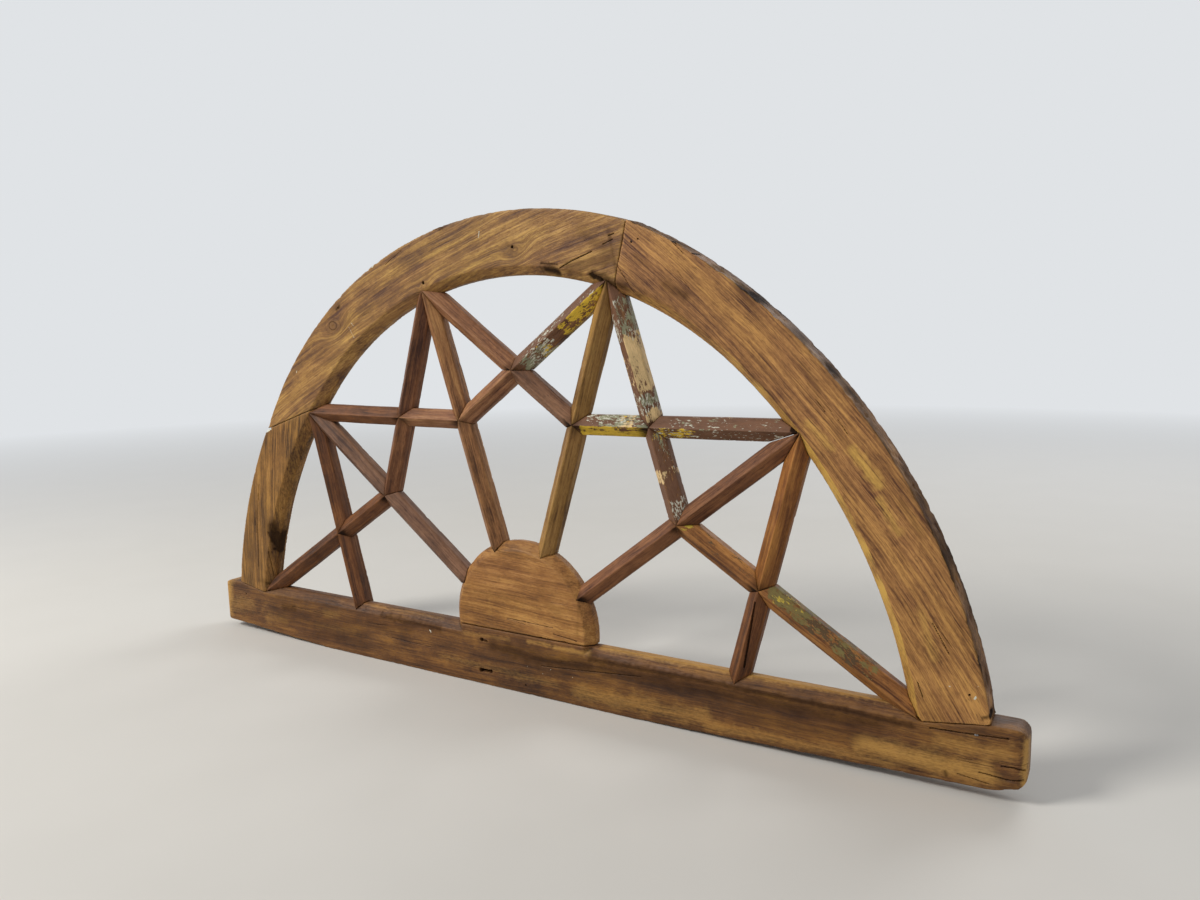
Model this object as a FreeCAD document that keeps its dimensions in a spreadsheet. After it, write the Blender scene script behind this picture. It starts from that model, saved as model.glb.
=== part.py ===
import FreeCAD, Part

import math
import os

import Sketcher

# Half-round sunburst fanlight of teak: a bellied sill with horns, an arch of three felloes, a
# half-round hub and a star lattice of mitred glazing bars. Millimetres, +Z up, the front faces
# -Y and the origin is at the middle of the sill's underside.

VECTOR = FreeCAD.Vector

SIZES = [
    ("half_span", 550.0, "half the clear span at the front arris, measured on the sill"),
    ("crown_radius", 498.0, "radius of the crown's arris"),
    ("crown_rise", 30.0, "height of the crown's centre above the sill's arris"),
    ("crown_turn", 43.4, "degrees from upright where the crown gives way to the flatter haunches"),
    ("thickness", 38.0, "front to back"),
    ("left_width", 68.0, "width of the left felloe from its arris to its outer edge"),
    ("left_foot_width", 64.0, "width of the left felloe at its foot"),
    ("crown_left_width", 71.0, "width of the crown felloe at its left end"),
    ("crown_top_width", 74.0, "width of the crown felloe at the top"),
    ("crown_right_width", 77.5, "width of the crown and right felloes where they meet"),
    ("right_waist_width", 70.0, "width of the right felloe at half its length"),
    ("right_foot_width", 74.0, "width of the right felloe at its foot"),
    ("left_joint_turn", 197.7, "degrees from +X of the left felloe joint, from its arris outwards"),
    ("left_joint_shift", 3.0, "height of the left felloe joint above its ray"),
    ("right_joint_turn", 76.9, "degrees from +X of the right felloe joint"),
    ("right_joint_shift", 13.0, "distance of the right felloe joint past its ray"),
    ("sill_height", 87.0, "height of the sill at its middle"),
    ("belly_left", 400.0, "reach of the sill's flat underside to the left"),
    ("belly_right", 180.0, "reach of the sill's flat underside to the right"),
    ("belly_rise", 14.0, "height by which the underside rises to the ends"),
    ("horn_length", 35.0, "reach of the sill's horns past the right felloe's foot"),
    ("horn_rise", 11.0, "height of the horns' top above the sill's arris"),
    ("sill_rounding", 13.0, "rounding of the sill's ends"),
    ("bevel_width", 12.0, "width of the bevel round the lights, seen from the front"),
    ("bevel_depth", 12.0, "depth of the bevel on frame and bars"),
    ("land", 12.0, "depth of the square land behind the bevel"),
    ("rebate_width", 10.0, "width of the glazing rebate in the frame's back"),
    ("hub_radius", 109.0, "radius of the hub's arris"),
    ("hub_rise", 25.0, "height of the hub's centre above the sill's arris"),
    ("low_ray_turn", 37.8, "degrees between the sill and the lowest rays"),
    ("high_ray_turn", 72.8, "degrees between the sill and the upper rays"),
    ("low_ring_radius", 316.5, "distance from the rays' centre to the star points on the lowest rays"),
    ("high_ring_radius", 330.0, "distance from the rays' centre to the star points on the upper rays"),
    ("sill_point", 327.0, "distance from the middle to the star points on the sill"),
    ("bar_width", 28.0, "width of a glazing bar"),
    ("tongue_width", 8.0, "width of a bar's tongue between its rebates"),
    ("joint_gap", 0.3, "open joint between two pieces of wood"),
    ("hub_gap", 0.8, "open joint under the hub"),
]

BAYS = 5
LEFT_JOINT_RAY = 1
RIGHT_JOINT_RAY = 3
RAY_CENTRE = (0.0, 0.0)
# How many widths a shape that only cuts or bounds runs past the piece.
PAST = 2


def make_sheet():
    sheet = doc.addObject("Spreadsheet::Sheet", "Sizes")
    for row, (alias, value, note) in enumerate(SIZES, start=1):
        sheet.set("A%d" % row, note)
        sheet.set("B%d" % row, str(value))
        sheet.setAlias("B%d" % row, alias)
    doc.recompute()
    return sheet


doc = FreeCAD.newDocument("fanlight")
sheet = make_sheet()
size = {alias: float(sheet.get(alias)) for alias, value, note in SIZES}

front = -size["thickness"] / 2
back = size["thickness"] / 2
arris_height = size["sill_height"] - size["bevel_width"]
sill_half = size["half_span"] + size["right_foot_width"] + size["horn_length"]
overrun = size["bevel_width"] / 4
crown_turn = math.radians(size["crown_turn"])


def haunch_offset():
    """How much longer the haunch's radius is than the crown's, so that it ends at the half span."""
    span, rise, radius = size["half_span"], size["crown_rise"], size["crown_radius"]
    reach = radius + rise * math.cos(crown_turn) - span * math.sin(crown_turn)
    return (span ** 2 + rise ** 2 - radius ** 2) / (2 * reach)


offset = haunch_offset()
haunch_radius = size["crown_radius"] + offset
crown_centre = (0.0, size["crown_rise"])
haunch_centre = (-offset * math.sin(crown_turn), size["crown_rise"] - offset * math.cos(crown_turn))
hub_centre = (0.0, size["hub_rise"])


def at(x, height, y):
    """A point from its place across, its height above the sill's arris and its depth."""
    return VECTOR(x, y, arris_height + height)


def polar(centre, radius, degrees):
    turn = math.radians(degrees)
    return (centre[0] + radius * math.cos(turn), centre[1] + radius * math.sin(turn))


def moved(point, degrees, distance):
    return polar(point, distance, degrees)


def circle_reach(centre, radius, degrees):
    """How far a ray from the rays' centre runs to the far side of a circle."""
    turn = math.radians(degrees)
    x0, z0 = RAY_CENTRE[0] - centre[0], RAY_CENTRE[1] - centre[1]
    along = x0 * math.cos(turn) + z0 * math.sin(turn)
    return -along + math.sqrt(along ** 2 - x0 ** 2 - z0 ** 2 + radius ** 2)


def turn_at(height, centre, radius):
    """The angle of the point of a circle that lies at this height, on its right half."""
    return math.degrees(math.asin((height - centre[1]) / radius))


def arc(centre, radius, start, end, y):
    """An arc at depth y; its angles are in degrees from +X towards +Z."""
    points = [at(*polar(centre, radius, turn), y) for turn in (start, (start + end) / 2, end)]
    return Part.Arc(*points).toShape()


def lines(points):
    return [Part.makeLine(a, b) for a, b in zip(points, points[1:])]


def opening_wire(inset, y):
    """The outline of the lights between arch, sill and hub, moved in by inset, at depth y."""
    radius = haunch_radius - inset
    low = turn_at(inset, haunch_centre, radius)
    high = 90 - size["crown_turn"]
    left_centre = (-haunch_centre[0], haunch_centre[1])
    arch = [
        arc(haunch_centre, radius, low, high, y),
        arc(crown_centre, size["crown_radius"] - inset, high, 180 - high, y),
        arc(left_centre, radius, 180 - high, 180 - low, y),
    ]
    hub_radius = size["hub_radius"] + inset
    hub_low = turn_at(inset, hub_centre, hub_radius)
    hub = arc(hub_centre, hub_radius, 180 - hub_low, hub_low, y)
    left_foot = at(*polar(left_centre, radius, 180 - low), y)
    right_foot = at(*polar(haunch_centre, radius, low), y)
    left = Part.makeLine(left_foot, at(*polar(hub_centre, hub_radius, 180 - hub_low), y))
    right = Part.makeLine(at(*polar(hub_centre, hub_radius, hub_low), y), right_foot)
    return Part.Wire([left, hub, right] + arch)


def opening_solid(clearance, past):
    """The lights with their bevel, land and rebate, drawn in by clearance, and run past the
    front and back faces by past."""
    slope = size["bevel_width"] / size["bevel_depth"]
    bevel_end = front + size["bevel_depth"]
    land_end = bevel_end + size["land"]
    mouth = opening_wire(clearance - slope * past, front - past)
    throat = opening_wire(clearance + size["bevel_width"], bevel_end)
    rebate = opening_wire(clearance + size["bevel_width"] - size["rebate_width"], land_end)
    bevel = Part.makeLoft([mouth, throat], True, True)
    land = Part.Face(throat).extrude(VECTOR(0, size["land"], 0))
    glazing = Part.Face(rebate).extrude(VECTOR(0, back + past - land_end, 0))
    return bevel.fuse([land, glazing])


def plate(outline, start, end):
    """A flat piece from an outline of (x, height) points, between two depths."""
    points = [at(x, height, start) for x, height in outline]
    return Part.Face(Part.makePolygon(points + points[:1])).extrude(VECTOR(0, end - start, 0))


def feature(label, shape):
    item = doc.addObject("Part::Feature", label)
    item.Shape = shape
    return item


def cut(label, base, tool):
    item = doc.addObject("Part::Cut", label)
    item.Base = base
    item.Tool = tool
    return item


def common(label, base, tool):
    item = doc.addObject("Part::Common", label)
    item.Base = base
    item.Tool = tool
    return item


def new_sketch(body, role):
    plane = [item for item in body.Origin.OriginFeatures if item.Role == role][0]
    sketch = body.newObject("Sketcher::SketchObject", body.Name + "_outline")
    sketch.AttachmentSupport = (plane, [""])
    sketch.MapMode = "FlatFace"
    return sketch


def tie(sketch, vertex, axis, text):
    """Hold one coordinate of an edge's start to an expression, or to the axis if it is 0."""
    edge, end = vertex
    if text == "0":
        axis_line = -2 if axis == "X" else -1
        sketch.addConstraint(Sketcher.Constraint("PointOnObject", edge, end, axis_line))
        return
    value = float(sheet.evalExpression(text))
    if value > 0:
        points = (-1, 1, edge, end)
    else:
        points = (edge, end, -1, 1)
        text = "-(%s)" % text
    index = sketch.addConstraint(Sketcher.Constraint("Distance" + axis, *points, abs(value)))
    sketch.setExpression("Constraints[%d]" % index, text)


def draw_polygon(sketch, corners):
    """A closed polygon; each corner is a pair of expressions."""
    values = [VECTOR(*[float(sheet.evalExpression(text)) for text in pair], 0) for pair in corners]
    following = values[1:] + values[:1]
    count = len(corners)
    for a, b in zip(values, following):
        sketch.addGeometry(Part.LineSegment(a, b), False)
    for index in range(count):
        sketch.addConstraint(Sketcher.Constraint("Coincident", index, 2, (index + 1) % count, 1))
    for index, (x, y) in enumerate(corners):
        tie(sketch, (index, 1), "X", x)
        tie(sketch, (index, 1), "Y", y)


def pad(body, sketch, length, centred):
    item = body.newObject("PartDesign::Pad", body.Name + "_pad")
    item.Profile = sketch
    item.setExpression("Length", length)
    item.Midplane = centred
    return item


def seat(side):
    """Where a felloe stands on the sill, from the mitre of the bevels out to the horn: the mitre's
    inner end, the arris, the seat's outer end and the end of the sill, as (x, height) points."""
    inset = size["bevel_width"] + overrun
    radius = haunch_radius - inset
    mitre_x = polar(haunch_centre, radius, turn_at(inset, haunch_centre, radius))[0]
    foot = size["left_foot_width"] if side < 0 else size["right_foot_width"]
    points = [
        (mitre_x, inset),
        (size["half_span"], 0.0),
        (size["half_span"] + foot, size["horn_rise"]),
        (sill_half, size["horn_rise"]),
    ]
    return [(side * x, height) for x, height in points]


def housing(side):
    """What is taken off the sill above a felloe's seat and a horn, with the horn's round corner."""
    inner, arris, outer, end = seat(side)
    above = PAST * size["bevel_width"]
    rounding = size["sill_rounding"]
    centre = (end[0] - side * rounding, end[1] - rounding)
    round_start = (centre[0], end[1])
    outside = end[0] + side * rounding
    start, stop = (90, 0) if side > 0 else (90, 180)
    run = lines([at(x, height, front - overrun) for x, height in (inner, arris, outer, round_start)])
    corner = arc(centre, rounding, start, stop, front - overrun)
    rest = [(end[0], centre[1]), (outside, centre[1]), (outside, above), (inner[0], above), inner]
    close = lines([at(x, height, front - overrun) for x, height in rest])
    depth = VECTOR(0, size["thickness"] + 2 * overrun, 0)
    return Part.Face(Part.Wire(run + [corner] + close)).extrude(depth)


def make_sill(opening):
    body = doc.addObject("PartDesign::Body", "sill_blank")
    sketch = new_sketch(body, "XZ_Plane")
    half = "Sizes.half_span + Sizes.right_foot_width + Sizes.horn_length"
    rise, height = "Sizes.belly_rise", "Sizes.sill_height"
    draw_polygon(sketch, [
        ("-(%s)" % half, rise), ("-Sizes.belly_left", "0"), ("Sizes.belly_right", "0"),
        (half, rise), (half, height), ("-(%s)" % half, height),
    ])
    blank = pad(body, sketch, "Sizes.thickness", True)
    doc.recompute()
    ends = []
    for index, edge in enumerate(blank.Shape.Edges):
        middle = edge.CenterOfMass
        at_end = abs(middle.x) > size["half_span"]
        upright = edge.BoundBox.ZLength > size["sill_height"] / 2 and middle.y < 0
        crosswise = edge.BoundBox.YLength > size["thickness"] / 2
        low = middle.z < size["sill_height"] / 2
        if at_end and (upright or crosswise and low):
            ends.append("Edge%d" % (index + 1))
    rounding = body.newObject("PartDesign::Fillet", "sill_rounded")
    rounding.Base = (blank, ends)
    rounding.setExpression("Radius", "Sizes.sill_rounding")
    body.Tip = rounding
    seated = cut("sill_left_seat", body, feature("housing_left", housing(-1)))
    seated = cut("sill_seats", seated, feature("housing_right", housing(1)))
    return cut("sill", seated, opening)


def make_hub(opening):
    """The hub's block stands on the sill; the lights' bevel and rebate shape its round edge."""
    low = size["bevel_width"] + size["hub_gap"]
    radius = size["hub_radius"] + size["bevel_width"] + overrun
    turn = turn_at(low, hub_centre, radius)
    crest = arc(hub_centre, radius, 180 - turn, turn, front)
    base = Part.makeLine(crest.valueAt(crest.LastParameter), crest.valueAt(crest.FirstParameter))
    block = Part.Face(Part.Wire([crest, base])).extrude(VECTOR(0, size["thickness"], 0))
    return cut("hub", feature("hub_blank", block), opening)


def felloe_disc(name, places):
    """A round plate whose edge is a felloe's outer edge, through three places on the arch, each
    an angle of the arch's normal in degrees from +X and the felloe's width there."""
    points = []
    for turn, width in places:
        side = 1 if turn < 90 else -1
        if abs(turn - 90) <= size["crown_turn"]:
            point = polar(crown_centre, size["crown_radius"] + width, turn)
        else:
            point = polar((side * haunch_centre[0], haunch_centre[1]), haunch_radius + width, turn)
        points.append(at(*point, front))
    edge = Part.Circle(*points).toShape()
    return feature(name + "_disc", Part.Face(Part.Wire(edge)).extrude(VECTOR(0, size["thickness"], 0)))


def normal_turn(point):
    """The angle of the arch's normal at a point of its arris, in degrees from +X."""
    side = math.copysign(1, point[0])
    for centre in (crown_centre, (side * haunch_centre[0], haunch_centre[1])):
        turn = math.degrees(math.atan2(point[1] - centre[1], point[0] - centre[0]))
        if abs(turn - 90) <= size["crown_turn"]:
            break
    return turn


def make_arch(opening):
    """Three felloes: each is the plate between its joints, inside its own round outer edge."""
    half_gap = size["joint_gap"] / 2
    inward = PAST * 2 * size["bevel_width"]
    outward = PAST * size["crown_right_width"]
    left_ray_end = arris_point(LEFT_JOINT_RAY)
    left_arris = (left_ray_end[0], left_ray_end[1] + size["left_joint_shift"])
    right_ray_end = arris_point(RIGHT_JOINT_RAY)
    right_arris = (right_ray_end[0] + size["right_joint_shift"], right_ray_end[1])

    def joint(arris, turn, aside):
        """A joint's inner and outer ends, moved aside, anticlockwise if positive."""
        start = moved(arris, turn + 90, aside)
        return [moved(start, turn + 180, inward), moved(start, turn, outward)]

    def foot(side):
        return [(x, height + size["joint_gap"]) for x, height in seat(side)]

    side = sill_half + outward
    top = size["half_span"] + outward
    left_low = joint(left_arris, size["left_joint_turn"], half_gap)
    left_high = joint(left_arris, size["left_joint_turn"], -half_gap)
    right_high = joint(right_arris, size["right_joint_turn"], half_gap)
    right_low = joint(right_arris, size["right_joint_turn"], -half_gap)
    left_turn, right_turn = normal_turn(left_arris), normal_turn(right_arris)
    foot_turn = turn_at(0, haunch_centre, haunch_radius)
    waist_turn = (foot_turn + right_turn) / 2
    left_width, right_width = size["left_width"], size["crown_right_width"]
    felloes = [
        ("arch_left", left_low + [(-side, left_low[1][1])] + foot(-1)[::-1],
         [(180 - foot_turn, size["left_foot_width"]), (180 - waist_turn, left_width),
          (left_turn, left_width)]),
        ("arch_crown", left_high + [(-side, top), (right_high[1][0], top)] + right_high[::-1],
         [(left_turn, size["crown_left_width"]), (90, size["crown_top_width"]),
          (right_turn, right_width)]),
        ("arch_right", right_low + [(side, right_low[1][1])] + foot(1)[::-1],
         [(right_turn, right_width), (waist_turn, size["right_waist_width"]),
          (foot_turn, size["right_foot_width"])]),
    ]
    parts = []
    for name, outline, places in felloes:
        board = feature(name + "_board", plate(outline, front, back))
        blank = common(name + "_blank", board, felloe_disc(name, places))
        parts.append(cut(name, blank, opening))
    return parts


def ray_turn(index):
    """A ray's angle in degrees from +X; rays 1 to 4 run from left to right."""
    turn = size["low_ray_turn"] if index in (1, BAYS - 1) else size["high_ray_turn"]
    return 180 - turn if index < BAYS / 2 else turn


def arris_point(index):
    """Where a ray meets the arch's arris; the first and last points are the sill's corners."""
    if index in (0, BAYS):
        return (math.copysign(size["half_span"], index - 1), 0.0)
    turn = ray_turn(index)
    side = math.copysign(1, 90 - turn)
    point = polar(RAY_CENTRE, circle_reach(crown_centre, size["crown_radius"], turn), turn)
    if abs(normal_turn(point) - 90) > size["crown_turn"]:
        centre = (side * haunch_centre[0], haunch_centre[1])
        point = polar(RAY_CENTRE, circle_reach(centre, haunch_radius, turn), turn)
    return point


def ring_point(index):
    """The inner star points; the first and last lie on the sill's arris."""
    if index in (0, BAYS):
        return (math.copysign(size["sill_point"], index - 1), 0.0)
    radius = size["low_ring_radius"] if index in (1, BAYS - 1) else size["high_ring_radius"]
    return polar(RAY_CENTRE, radius, ray_turn(index))


def crossing(a, b, c, d):
    """Where the line from a to b meets the line from c to d."""
    ux, uz = b[0] - a[0], b[1] - a[1]
    vx, vz = d[0] - c[0], d[1] - c[1]
    share = ((c[0] - a[0]) * vz - (c[1] - a[1]) * vx) / (ux * vz - uz * vx)
    return (a[0] + share * ux, a[1] + share * uz)


def lattice():
    """The lattice's points by name, and the bars as name, start and end, round the fan."""
    points = {}
    for index in range(BAYS + 1):
        points["arch", index] = arris_point(index)
        points["ring", index] = ring_point(index)
    for bay in range(BAYS):
        points["star", bay] = crossing(
            points["arch", bay], points["ring", bay + 1],
            points["arch", bay + 1], points["ring", bay],
        )
    bars = []
    for bay in range(BAYS):
        star = ("star", bay)
        for side, index in (("left", bay), ("right", bay + 1)):
            bars.append(("bay_%d_upper_%s" % (bay + 1, side), ("arch", index), star))
            bars.append(("bay_%d_lower_%s" % (bay + 1, side), star, ("ring", index)))
    for index in range(1, BAYS):
        turn = ray_turn(index)
        hub_reach = circle_reach(hub_centre, size["hub_radius"], turn)
        points["hub", index] = polar(RAY_CENTRE, hub_reach, turn)
        bars.append(("ray_outer_%d" % index, ("arch", index), ("ring", index)))
        bars.append(("ray_inner_%d" % index, ("ring", index), ("hub", index)))
    return points, bars


def unit(a, b):
    length = math.dist(a, b)
    return ((b[0] - a[0]) / length, (b[1] - a[1]) / length)


def beyond(point, origin, normal):
    """How far a point lies beyond a line through the origin, along its normal."""
    return sum((point[axis] - origin[axis]) * normal[axis] for axis in (0, 1))


def trim(outline, origin, normal, clear):
    """The part of a polygon that lies at least clear beyond a line along its normal."""
    kept = []
    for a, b in zip(outline, outline[1:] + outline[:1]):
        high_a, high_b = beyond(a, origin, normal) - clear, beyond(b, origin, normal) - clear
        if high_a >= 0:
            kept.append(a)
        if (high_a > 0) != (high_b > 0) and high_a != high_b:
            share = high_a / (high_a - high_b)
            kept.append(tuple(a[axis] + share * (b[axis] - a[axis]) for axis in (0, 1)))
    return kept


def mitred_outline(ends, points, meeting):
    """A bar's elevation: a strip past both ends, mitred against the bars that meet it there, with
    the mitre's sharp tip taken off."""
    a, b = points[ends[0]], points[ends[1]]
    along = unit(a, b)
    across = (-along[1], along[0])
    width = size["bar_width"]
    past = PAST * width
    outline = [
        tuple(p[axis] + s * past * along[axis] + t * width * across[axis] for axis in (0, 1))
        for p, s, t in ((a, -1, -1), (b, 1, -1), (b, 1, 1), (a, -1, 1))
    ]
    for end, other in (ends, ends[::-1]):
        own = unit(points[end], points[other])
        for neighbour in meeting[end]:
            if neighbour != other:
                away = unit(points[end], points[neighbour])
                normal = unit(away, own)
                outline = trim(outline, points[end], normal, size["joint_gap"] / 2)
        tip = min(beyond(point, points[end], own) for point in outline)
        outline = trim(outline, points[end], own, tip + size["joint_gap"])
    return outline


def bar_stock(name, a, b):
    """A straight bar of the glazing section, its ridge along the front, past both its ends."""
    body = doc.addObject("PartDesign::Body", name + "_stock")
    sketch = new_sketch(body, "XY_Plane")
    wide, narrow = "Sizes.bar_width / 2", "Sizes.tongue_width / 2"
    bevel, deep = "Sizes.bevel_depth", "Sizes.bevel_depth + Sizes.land"
    draw_polygon(sketch, [
        ("0", "0"), (wide, bevel), (wide, deep), (narrow, deep), (narrow, "Sizes.thickness"),
        ("-" + narrow, "Sizes.thickness"), ("-" + narrow, deep), ("-" + wide, deep),
        ("-" + wide, bevel),
    ])
    pad(body, sketch, "%r + 2 * %d * Sizes.bar_width" % (math.dist(a, b), PAST), False)
    doc.recompute()
    along = unit(a, b)
    past = PAST * size["bar_width"]
    start = at(a[0] - past * along[0], a[1] - past * along[1], front)
    z_axis = VECTOR(along[0], 0, along[1])
    y_axis = VECTOR(0, 1, 0)
    turn = FreeCAD.Rotation(y_axis.cross(z_axis), y_axis, z_axis, "ZYX")
    body.Placement = FreeCAD.Placement(start, turn)
    return body


def make_bars(bound):
    points, bars = lattice()
    meeting = {end: [] for end in points}
    for name, start, end in bars:
        meeting[start].append(end)
        meeting[end].append(start)
    parts = []
    for name, start, end in bars:
        stock = bar_stock(name, points[start], points[end])
        outline = mitred_outline((start, end), points, meeting)
        mitre = feature(name + "_mitre", plate(outline, front - overrun, back + overrun))
        parts.append(common(name, common(name + "_mitred", stock, mitre), bound))
    return parts


def main():
    opening = feature("opening", opening_solid(0.0, overrun))
    bound = feature("lattice_bound", opening_solid(size["joint_gap"], 0.0))
    parts = [make_sill(opening), make_hub(opening)] + make_arch(opening) + make_bars(bound)
    doc.recompute()
    for item in doc.Objects:
        if "Invalid" in item.State or "Error" in item.State:
            raise RuntimeError("%s is %s" % (item.Name, item.State))
    os.makedirs("parts", exist_ok=True)
    for item in parts:
        shape = item.Shape
        if shape.isNull() or not shape.isValid() or len(shape.Solids) != 1:
            raise RuntimeError("%s: %d solids" % (item.Label, len(shape.Solids)))
        shape.exportStep(os.path.join("parts", item.Label + ".step"))
        print(item.Label, round(shape.Volume / 1000, 1), "cm3")


main()
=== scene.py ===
import math
from collections import namedtuple

import bmesh
import bpy
import numpy as np
from mathutils import Euler, Matrix, Vector


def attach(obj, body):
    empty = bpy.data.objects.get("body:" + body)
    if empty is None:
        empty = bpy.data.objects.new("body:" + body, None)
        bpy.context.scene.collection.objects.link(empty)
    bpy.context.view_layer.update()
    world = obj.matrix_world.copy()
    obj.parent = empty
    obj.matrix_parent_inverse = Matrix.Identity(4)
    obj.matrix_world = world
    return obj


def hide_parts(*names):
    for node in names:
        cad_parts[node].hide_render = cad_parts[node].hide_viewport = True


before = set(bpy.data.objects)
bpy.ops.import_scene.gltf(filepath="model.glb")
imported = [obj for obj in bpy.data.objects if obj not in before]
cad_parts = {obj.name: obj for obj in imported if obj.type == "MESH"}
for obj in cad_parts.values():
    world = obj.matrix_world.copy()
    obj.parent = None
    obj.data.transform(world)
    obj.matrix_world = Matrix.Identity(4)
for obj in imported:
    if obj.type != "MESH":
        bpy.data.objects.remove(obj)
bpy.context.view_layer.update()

# Half-round sunburst fanlight of worn teak. Each CAD piece is cut into small faces, worn, chipped
# and cracked, and gets wood whose fibres run along the real piece. Places of marks are (x, z) in
# millimetres in the row frame, on the front.

MM = 0.001

CAMERA_PLACE = (0.7425, -1.0075, 0.5117)
CAMERA_TURN = (82.508, 1.243, 31.144)
CAMERA_LENS = 26.83
SENSOR_WIDTH = 36.0

# Millimetres: y of the front, depth of the bevels behind it, and the arch's centre as (x, z)
FRONT = -19.0
BEVEL_DEPTH = 12.0
ARCH_CENTRE = np.array([0.0, 87.0])

# Noise in numpy


def lattice_value(cell, seed):
    """A repeatable value from -1 to 1 for each cell of a cubic lattice."""
    key = cell[:, 0] * 374761393 + cell[:, 1] * 668265263 + cell[:, 2] * 1440662683 + seed * 977
    key = (key ^ (key >> 13)) & 0xFFFFFFFF
    key = (key * 1274126177) & 0xFFFFFFFF
    return ((key ^ (key >> 16)) & 0xFFFF) / 32767.5 - 1.0


def noise(points, size, seed):
    """Smooth noise from -1 to 1 whose features measure about size, in the points' own unit."""
    place = points / size + 64.0
    cell = np.floor(place).astype(np.int64)
    share = place - cell
    share = share * share * (3 - 2 * share)
    total = np.zeros(len(points))
    for corner in range(8):
        step = np.array([corner & 1, corner >> 1 & 1, corner >> 2])
        weight = np.where(step, share, 1 - share).prod(axis=1)
        total += weight * lattice_value(cell + step, seed)
    return total


def fade(value, low, high):
    """0 below low, 1 above high and smooth between."""
    share = np.clip((value - low) / (high - low), 0, 1)
    return share * share * (3 - 2 * share)


# Marks: holes, cracks, stains and chips. Each has a path, half its width and its depth in
# millimetres, a way ("in" presses it in from the front, "off" takes it off along the normal), the
# tone that it leaves and how strong that is, and how ragged its edge is

Mark = namedtuple("Mark", "path width depth way tone strength ragged")


# The dark tone that holes and cracks leave is painted shade at their bottoms
def hole(x, z, radius, depth=7.0):
    return Mark([(x, z)], radius, depth, "in", "dark", 1.0, 0.25)


def crack(path, width=0.9, depth=3.0):
    return Mark(path, width, depth, "in", "dark", 0.8, 0.3)


def stain(path, width, strength):
    return Mark(path, width, 0, "in", "dark", strength, 0.5)


def pale(path, width, strength):
    return Mark(path, width, 0, "in", "light", strength, 0.5)


def fleck(path, width, strength=0.8):
    return Mark(path, width, 0, "in", "fleck", strength, 0.5)


def ring(x, z, radius, width, strength):
    """A dark oval, longer along the felloe's fibres, such as the edge of a knot."""
    turns = [math.radians(step) for step in range(0, 375, 15)]
    path = [(x + 1.3 * radius * math.cos(turn), z + radius * math.sin(turn)) for turn in turns]
    return stain(path, width, strength)


def chip(path, width, depth, tone="light", strength=0.3):
    return Mark(path, width, depth, "off", tone, strength, 0.5)


def burn(path, width, depth, strength=1.3):
    return Mark(path, width, depth, "in", "dark", strength, 0.45)


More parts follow.
